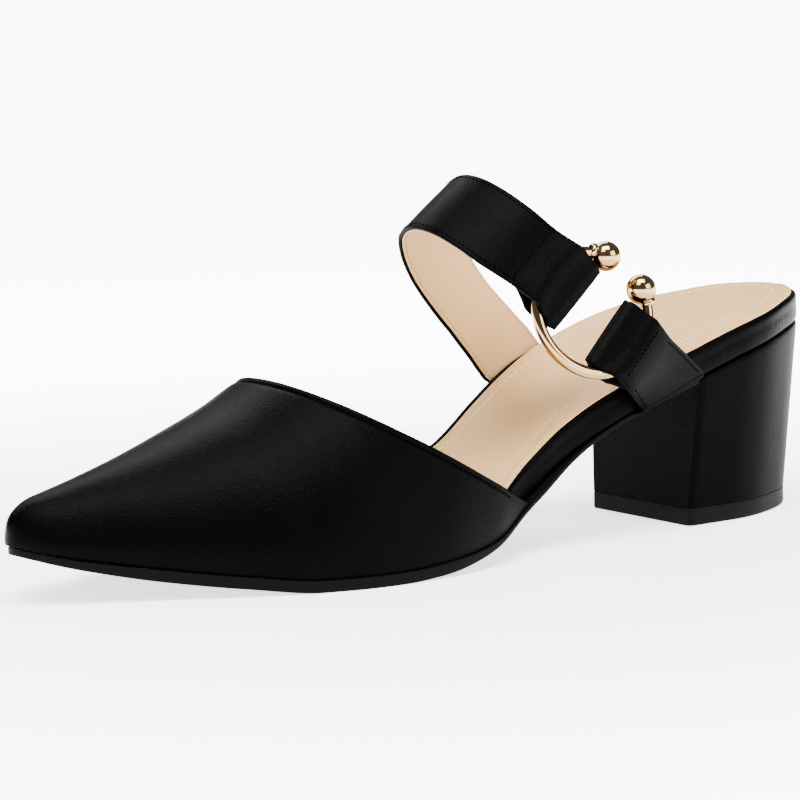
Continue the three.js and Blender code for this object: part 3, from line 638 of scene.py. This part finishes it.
def run_through(root, places, fold, count):
    """A smooth run from the root to the fold, with its width turning from stop to stop."""
    stops = [root[-1]] + places + [fold[0]]
    points = [p for p, _ in stops]
    points = [2 * points[0] - points[1]] + points + [2 * points[-1] - points[-2]]
    run = []
    for k in range(1, count):
        place = k / count * (len(stops) - 1)
        i = min(int(place), len(stops) - 2)
        t = place - i
        p0, p1, p2, p3 = points[i:i + 4]
        d0, d1, d2 = (max(np.linalg.norm(b - a), 1e-4) ** 0.5 for a, b in ((p0, p1), (p1, p2), (p2, p3)))
        t1 = ((p1 - p0) / d0 - (p2 - p0) / (d0 + d1) + (p2 - p1) / d1) * d1
        t2 = ((p2 - p1) / d1 - (p3 - p1) / (d1 + d2) + (p3 - p2) / d2) * d1
        centre = (p1 * (2 * t**3 - 3 * t**2 + 1) + t1 * (t**3 - 2 * t**2 + t)
                  + p2 * (3 * t**2 - 2 * t**3) + t2 * (t**3 - t**2))
        wide = np.linalg.norm(stops[i][1]) * (1 - t) + np.linalg.norm(stops[i + 1][1]) * t
        run.append((centre, unit(stops[i][1] * (1 - t) + stops[i + 1][1] * t) * wide))
    return run


def close_fold(rings, degrees):
    """Presses a fold's two leaves together beside the wire, so that the ring shows as a soft ridge, and eases
    the bend along its seam."""
    inward, wide = spoke(degrees), spoke(degrees - 90)
    far = RING_RADIUS + WIRE + GAP
    room = WIRE + GAP + STRAP_THICK / 2
    shut = (STRAP_THICK + GAP) / 2
    p = rings - ring_centre
    f, o, w = p @ inward, p @ ring_out, p @ wide
    here = (f > 0) & (f < far + SEAM_RAMP) & (np.abs(o) < 5.5) & (np.abs(w) < 15)
    arc = RING_RADIUS - 0.55 * (RING_RADIUS - np.sqrt(np.clip(RING_RADIUS ** 2 - w ** 2, 0, None)))
    off_wire = np.clip(np.abs(f - arc) - 0.6, 0, None)
    height = shut + (room - shut) * np.exp(-(off_wire / 2.1) ** 2) * smoothstep(far + SEAM_RAMP - f, 0, 2.4)
    old = shut + (room - shut) * smoothstep(far + SEAM_RAMP - f, 0, SEAM_RAMP)
    leaf = STRAP_THICK / 2
    deep = np.abs(o)
    pressed = np.where(deep > old - leaf, deep - old + height, deep * (height - leaf) / (old - leaf))
    rings = rings + ring_out * (np.where(here, np.sign(o) * (pressed - deep), 0))[..., None]
    near = (np.exp(-((f - far - SEAM_RAMP) / 1.8) ** 2) * (np.abs(o) < 6) * (np.abs(w) < 16))[1:-1, :, None]
    for _ in range(70):
        rings[1:-1] += (rings[:-2] / 2 + rings[2:] / 2 - rings[1:-1]) * near * 0.5
    return rings


def strip(name, path, out_side, offset, thick, inset, edge, pillow=0.0, relief=(), fold=None):
    """A layer of leather along a path: offset is from the path's middle to the outer face's side. Rows of
    relief are soft creases: station, place across, length in stations, width across, height."""
    centres = np.array([p for p, _ in path])
    halves = np.array([h for _, h in path])
    ahead = np.gradient(centres, axis=0)
    normal = unit(np.cross(halves, ahead)) * out_side
    wide = np.linalg.norm(halves, axis=1) - inset
    corner = [(math.cos(a), math.sin(a)) for a in np.linspace(0, math.pi / 2, 4)]
    rings = []
    for i, (c, h, n, w) in enumerate(zip(centres, unit(halves), normal, wide)):
        top = [(w - edge + edge * ca, thick / 2 - edge + edge * sa) for ca, sa in corner]
        across = np.linspace(1, -1, 25)[1:-1]
        swell = [sum(rise * math.exp(-((i - at) / long) ** 2 - ((s - place) / wide_part) ** 2)
                     for at, place, long, wide_part, rise in relief) * (1 - s * s) for s in across]
        face = [((w - edge) * s, thick / 2 + pillow * (1 - s * s) + rise) for s, rise in zip(across, swell)]
        loop = top + face + [(-y, z) for y, z in reversed(top)]
        loop += [(-y, -z) for y, z in top] + [((w - edge) * -s, -thick / 2) for s in across]
        loop += [(y, -z) for y, z in reversed(top)]
        rings.append([c + h * y + n * (z + offset) for y, z in loop])
    rings = np.array(rings)
    if fold is not None:
        rings = close_fold(rings, fold)
    piece = skin(name, rings, cap_first=True, cap_last=True)
    soften(piece, 60)
    return piece, centres, unit(halves), normal, wide, rings


def shown(path, start, stop):
    """The part of a path between two of its stations."""
    return path[start:len(path) - stop]


LOOP_SIDE, LOOP_RISE, STRAP_HALF = 27, 70.1, 10.8
LOOP = [  # shares of the loop's side, of its rise and of the strap's half width back, and the twist
    (-0.965, 0.175, 0.15, 0.14), (-0.97, 0.305, 0.08, 0.24), (-0.985, 0.435, 0.02, 0.3),
    (-0.99, 0.57, 0, 0.24), (-0.94, 0.7, 0, 0.14), (-0.8, 0.825, 0, 0.06), (-0.56, 0.937, 0, 0.02),
    (-0.22, 0.987, 0, 0), (0.06, 0.974, 0, 0), (0.32, 0.918, 0, 0), (0.55, 0.838, 0, 0)]
strap_root = root_path(STRAP_ROOT, -1, 19)
strap_fold = fold_path(STRAP_SPOKE, 20.2, 1.4, 0.7)
strap_loop = [(loop_point(side * LOOP_SIDE, up * LOOP_RISE, back * STRAP_HALF - STRAP_CENTRE),
               unit(across_strap + np.array([0, -twist, 0])) * STRAP_HALF) for side, up, back, twist in LOOP]
strap_path = strap_root + run_through(strap_root, strap_loop, strap_fold, 150) + strap_fold
creases = [(140, -0.2, 6, 0.6, 0.1), (126, 0.3, 9, 0.7, -0.12), (110, -0.3, 10, 0.8, 0.12),
           (92, 0.2, 8, 0.9, -0.1)]
strap, s_at, s_across, s_out, s_wide, _ = strip(
    "strap_cover", strap_path, -1, 0.3, 1.2, 0, 0.45, 0.12, creases, STRAP_SPOKE)
dress(strap, black_leather, "upper_leather", "strap")
fold_count = len(strap_fold)
strap_lining = strip("strap_lining", shown(strap_path, 9, fold_count), -1, -0.58, 0.66, 0.55, 0.2)[0]
strap_lining_leather = surface("Strap lining", (0.48, 0.275, 0.106), (0.54, 0.322, 0.132), 0.62, 0.06, 1700,
                               0.00005, specular=0.2, sheen=0.05)
dress(strap_lining, strap_lining_leather, "lining_leather", "strap")
tan_thread = surface("Tan thread", (0.22, 0.12, 0.05), (0.28, 0.16, 0.07), 0.65, 0.05, 9000, 0.00004)

body = slice(12, len(strap_path) - fold_count - 1)
for side, name in ((1, "rear"), (-1, "front")):
    line = s_at[body] + s_across[body] * ((s_wide[body] - 1.3) * side)[:, None] + s_out[body] * 0.93
    seam = stitches("strap_seam_" + name, line, s_out[body], 1.05, 0.4, 0.2)
    dress(seam, black_thread_and_pit_shade, "upper_leather")
    line = s_at[body] + s_across[body] * ((s_wide[body] - 1.4) * side)[:, None] - s_out[body] * 0.92
    seam = stitches("strap_lining_seam_" + name, line, -s_out[body], 0.95, 0.5, 0.17)
    dress(seam, tan_thread, "lining_leather")
cross = len(strap_path) - fold_count - 3
reach = np.linspace(-1, 1, 20)[:, None] * (s_wide[cross] - 1.6)
seam = stitches("strap_seam_cross", s_at[cross] + s_across[cross] * reach + s_out[cross] * 0.98,
                np.tile(s_out[cross], (20, 1)), 1.05, 0.4, 0.2)
dress(seam, black_thread_and_pit_shade, "upper_leather")


# Tab: a short strip of the same leather, rooted under the footbed on the outer side by the heel. It leans
# forward over the rand, and its end is folded round the ring and stitched down behind it.
tab_root = [(at - [0, 0, 0.7], half + [0, 0, 0.7]) for at, half in root_path(64.5, 1, 21.5)]
tab_fold = fold_path(TAB_SPOKE, -19.5, 0.8, 1.5)
tab_path = tab_root + run_through(tab_root, [], tab_fold, 30) + tab_fold
creases = [(22, 0.2, 5, 0.7, -0.12)]
tab, t_at, t_across, t_out, t_wide, t_rings = strip(
    "tab_cover", tab_path, 1, 0, STRAP_THICK, 0, 0.5, 0.1, creases, TAB_SPOKE)
dress(tab, black_leather, "upper_leather", "tab")
body = slice(11, 38)
for side, name in ((1, "rear"), (-1, "front")):
    line = t_at[body] + t_across[body] * ((t_wide[body] - 1.3) * side)[:, None] + t_out[body] * 0.93
    seam = stitches("tab_seam_" + name, line, t_out[body], 1.05, 0.4, 0.2)
    dress(seam, black_thread_and_pit_shade, "upper_leather")
cross = len(tab_root) + 35
seam = stitches("tab_seam_cross", t_rings[cross, 5:26] + t_out[cross] * 0.05, np.tile(t_out[cross], (21, 1)),
                1.05, 0.4, 0.2)
dress(seam, black_thread_and_pit_shade, "upper_leather")


# Ring: cast brass with a pale gold finish, polished. An open ring of round wire with a collar and a ball on
# each end, held by the folds of strap and tab.
def join_pieces(name, pieces):
    """Several objects made into one, as one casting."""
    with bpy.context.temp_override(active_object=pieces[0], selected_editable_objects=pieces):
        bpy.ops.object.join()
    pieces[0].name = name
    pieces[0].data.name = name
    return pieces[0]


OPENING, OPENING_AT = 47, 5
FIRST = OPENING_AT + OPENING / 2
SWEEP = 360 - OPENING
angles = np.linspace(FIRST, FIRST + SWEEP, 181)
rows = []
for a in angles:
    out = spoke(a)
    rows.append([ring_centre + out * (RING_RADIUS + WIRE * math.cos(t)) + ring_out * WIRE * math.sin(t)
                 for t in np.linspace(0, 2 * math.pi, 25)[:-1]])
parts = [skin("ring_wire", rows)]
for angle, sense in ((FIRST, 1), (FIRST + SWEEP, -1)):
    centre = ring_centre + spoke(angle) * RING_RADIUS
    away = unit(np.cross(ring_out, spoke(angle))) * sense
    first, second = spoke(angle), ring_out
    ball = [(BALL_RADIUS * math.cos(t), BALL_RADIUS * math.sin(t)) for t in np.linspace(0, math.pi, 33)]
    collar = [(3.2, 1.6), (3.5, 2.15), (4.1, 2.3), (4.7, 2.15), (5.0, 1.6)]
    for number, profile in enumerate((ball, collar)):
        rows = [[centre + away * d + (first * math.cos(t) + second * math.sin(t)) * max(r, 1e-4)
                 for t in np.linspace(0, 2 * math.pi, 41)[:-1]] for d, r in profile]
        parts.append(skin("ring_end_%d_%d" % (int(angle), number), rows))
ring = join_pieces("ring_gold", parts)
soften(ring, 70)
gold = bpy.data.materials.new("Pale gold")
gold.use_nodes = True
gold_nodes, gold_links = gold.node_tree.nodes, gold.node_tree.links
gold_shader = gold_nodes["Principled BSDF"]
gold_shader.inputs["Base Color"].default_value = (0.36, 0.228, 0.1, 1)
gold_shader.inputs["Metallic"].default_value = 1
gold_wear = gold_nodes.new("ShaderNodeTexNoise")
gold_wear.inputs["Scale"].default_value = 420
gold_wear.inputs["Detail"].default_value = 5
gold_range = gold_nodes.new("ShaderNodeMapRange")
gold_range.inputs["To Min"].default_value = 0.06
gold_range.inputs["To Max"].default_value = 0.16
gold_at = gold_nodes.new("ShaderNodeTexCoord")
gold_bump = gold_nodes.new("ShaderNodeBump")
gold_bump.inputs["Distance"].default_value = 0.000004
gold_links.new(gold_at.outputs["Object"], gold_wear.inputs["Vector"])
gold_links.new(gold_wear.outputs["Fac"], gold_range.inputs["Value"])
gold_links.new(gold_range.outputs["Result"], gold_shader.inputs["Roughness"])
gold_links.new(gold_wear.outputs["Fac"], gold_bump.inputs["Height"])
gold_links.new(gold_bump.outputs["Normal"], gold_shader.inputs["Normal"])
dress(ring, gold, "gold_metal", "ring")


# Studio: a plain pale floor that glows more the further it is from the shoe, so that it is white all round,
# a pale band at the horizon, and soft boxes above and beside the shoe that give the leather its broad sheen.
floor_mesh = bpy.data.meshes.new("floor")
floor_mesh.from_pydata([(-20, -20, 0), (20, -20, 0), (20, 20, 0), (-20, 20, 0)], [], [(0, 1, 2, 3)])
floor = bpy.data.objects.new("floor", floor_mesh)
bpy.context.scene.collection.objects.link(floor)
floor_paint = surface("Pale floor", (0.86, 0.86, 0.87), (0.88, 0.88, 0.89), 0.75, 0.04, 120, 0.00001,
                      specular=0.2)
f_nodes, f_links = floor_paint.node_tree.nodes, floor_paint.node_tree.links
f_at = f_nodes.new("ShaderNodeTexCoord")
f_far = f_nodes.new("ShaderNodeVectorMath")
f_far.operation = "LENGTH"
f_glow = f_nodes.new("ShaderNodeMapRange")
f_glow.interpolation_type = "SMOOTHSTEP"
f_glow.inputs["From Min"].default_value = 0.05
f_glow.inputs["From Max"].default_value = 0.5
f_glow.inputs["To Min"].default_value = 2.0
f_glow.inputs["To Max"].default_value = 9.5
f_links.new(f_at.outputs["Object"], f_far.inputs[0])
f_links.new(f_far.outputs["Value"], f_glow.inputs["Value"])
f_links.new(f_glow.outputs["Result"], f_nodes["Principled BSDF"].inputs["Emission Strength"])
f_nodes["Principled BSDF"].inputs["Emission Color"].default_value = (1, 1, 1, 1)
floor.data.materials.append(floor_paint)

world = bpy.data.worlds.new("Studio")
bpy.context.scene.world = world
world.use_nodes = True
w_nodes, w_links = world.node_tree.nodes, world.node_tree.links
w_at = w_nodes.new("ShaderNodeTexCoord")
w_split = w_nodes.new("ShaderNodeSeparateXYZ")
w_band = w_nodes.new("ShaderNodeMapRange")
w_band.interpolation_type = "SMOOTHSTEP"
w_band.inputs["From Min"].default_value = 0.02
w_band.inputs["From Max"].default_value = 0.1
w_band.inputs["To Min"].default_value = 8.5
w_band.inputs["To Max"].default_value = 0.2
w_links.new(w_at.outputs["Generated"], w_split.inputs[0])
w_links.new(w_split.outputs["Z"], w_band.inputs["Value"])
w_links.new(w_band.outputs["Result"], w_nodes["Background"].inputs["Strength"])
w_nodes["Background"].inputs["Color"].default_value = (1, 1, 1, 1)


def stand(right, up, away, place):
    """The matrix of a lamp or camera from its three directions and its place."""
    return Matrix([[*row, p] for row, p in zip(np.stack([right, up, away], 1), place)] + [[0, 0, 0, 1]])


def soft_light(name, place, aim, width, height, watts):
    """A soft box: an area light at a place, aimed at another."""
    light = bpy.data.lights.new(name, "AREA")
    light.shape = "RECTANGLE"
    light.size, light.size_y = width, height
    light.energy = watts
    lamp = bpy.data.objects.new(name, light)
    bpy.context.scene.collection.objects.link(lamp)
    away = unit(np.array(place, float) - np.array(aim, float))
    right = unit(np.cross([0, 0, 1.0], away))
    up = np.cross(away, right)
    lamp.matrix_world = stand(right, up, away, place)


soft_light("Top box", (0.12, 0.25, 0.95), (0, 0, 0.03), 0.7, 0.45, 27)
soft_light("Side card", (-0.4, 0.85, 0.45), (0, 0, 0.04), 0.6, 0.45, 9)
soft_light("Front box", (0.5, 0.3, 0.8), (0.02, 0, 0.04), 0.4, 0.4, 5)
soft_light("Back box", (-0.15, -0.6, 0.65), (0.02, 0, 0.04), 0.8, 0.4, 9)

# Camera: in front of the shoe on its outer side and a little above it, rolled slightly, as in the photograph.
azimuth, elevation, roll = math.radians(145.7313), math.radians(7.3931), math.radians(-1.2689)
level = math.cos(elevation)
back = np.array([math.sin(azimuth) * level, -math.cos(azimuth) * level, math.sin(elevation)])
right = unit(np.cross(-back, [0, 0, 1.0]))
up = np.cross(right, -back)
DISTANCE, PIXELS_PER_MM, PICTURE = 898.9892, 3.814554, 800
aim = np.array([125, 0, 40]) - 7.8718 * right - 0.9316 * up
eye = (aim + back * DISTANCE - MIDDLE) / 1000
side = right * math.cos(roll) + up * math.sin(roll)
top = up * math.cos(roll) - right * math.sin(roll)
view = bpy.data.cameras.new("Photograph")
view.sensor_width = 36
view.lens = view.sensor_width * PIXELS_PER_MM * DISTANCE / PICTURE
camera = bpy.data.objects.new("Photograph", view)
bpy.context.scene.collection.objects.link(camera)
camera.matrix_world = stand(side, top, back, eye)
bpy.context.scene.camera = camera
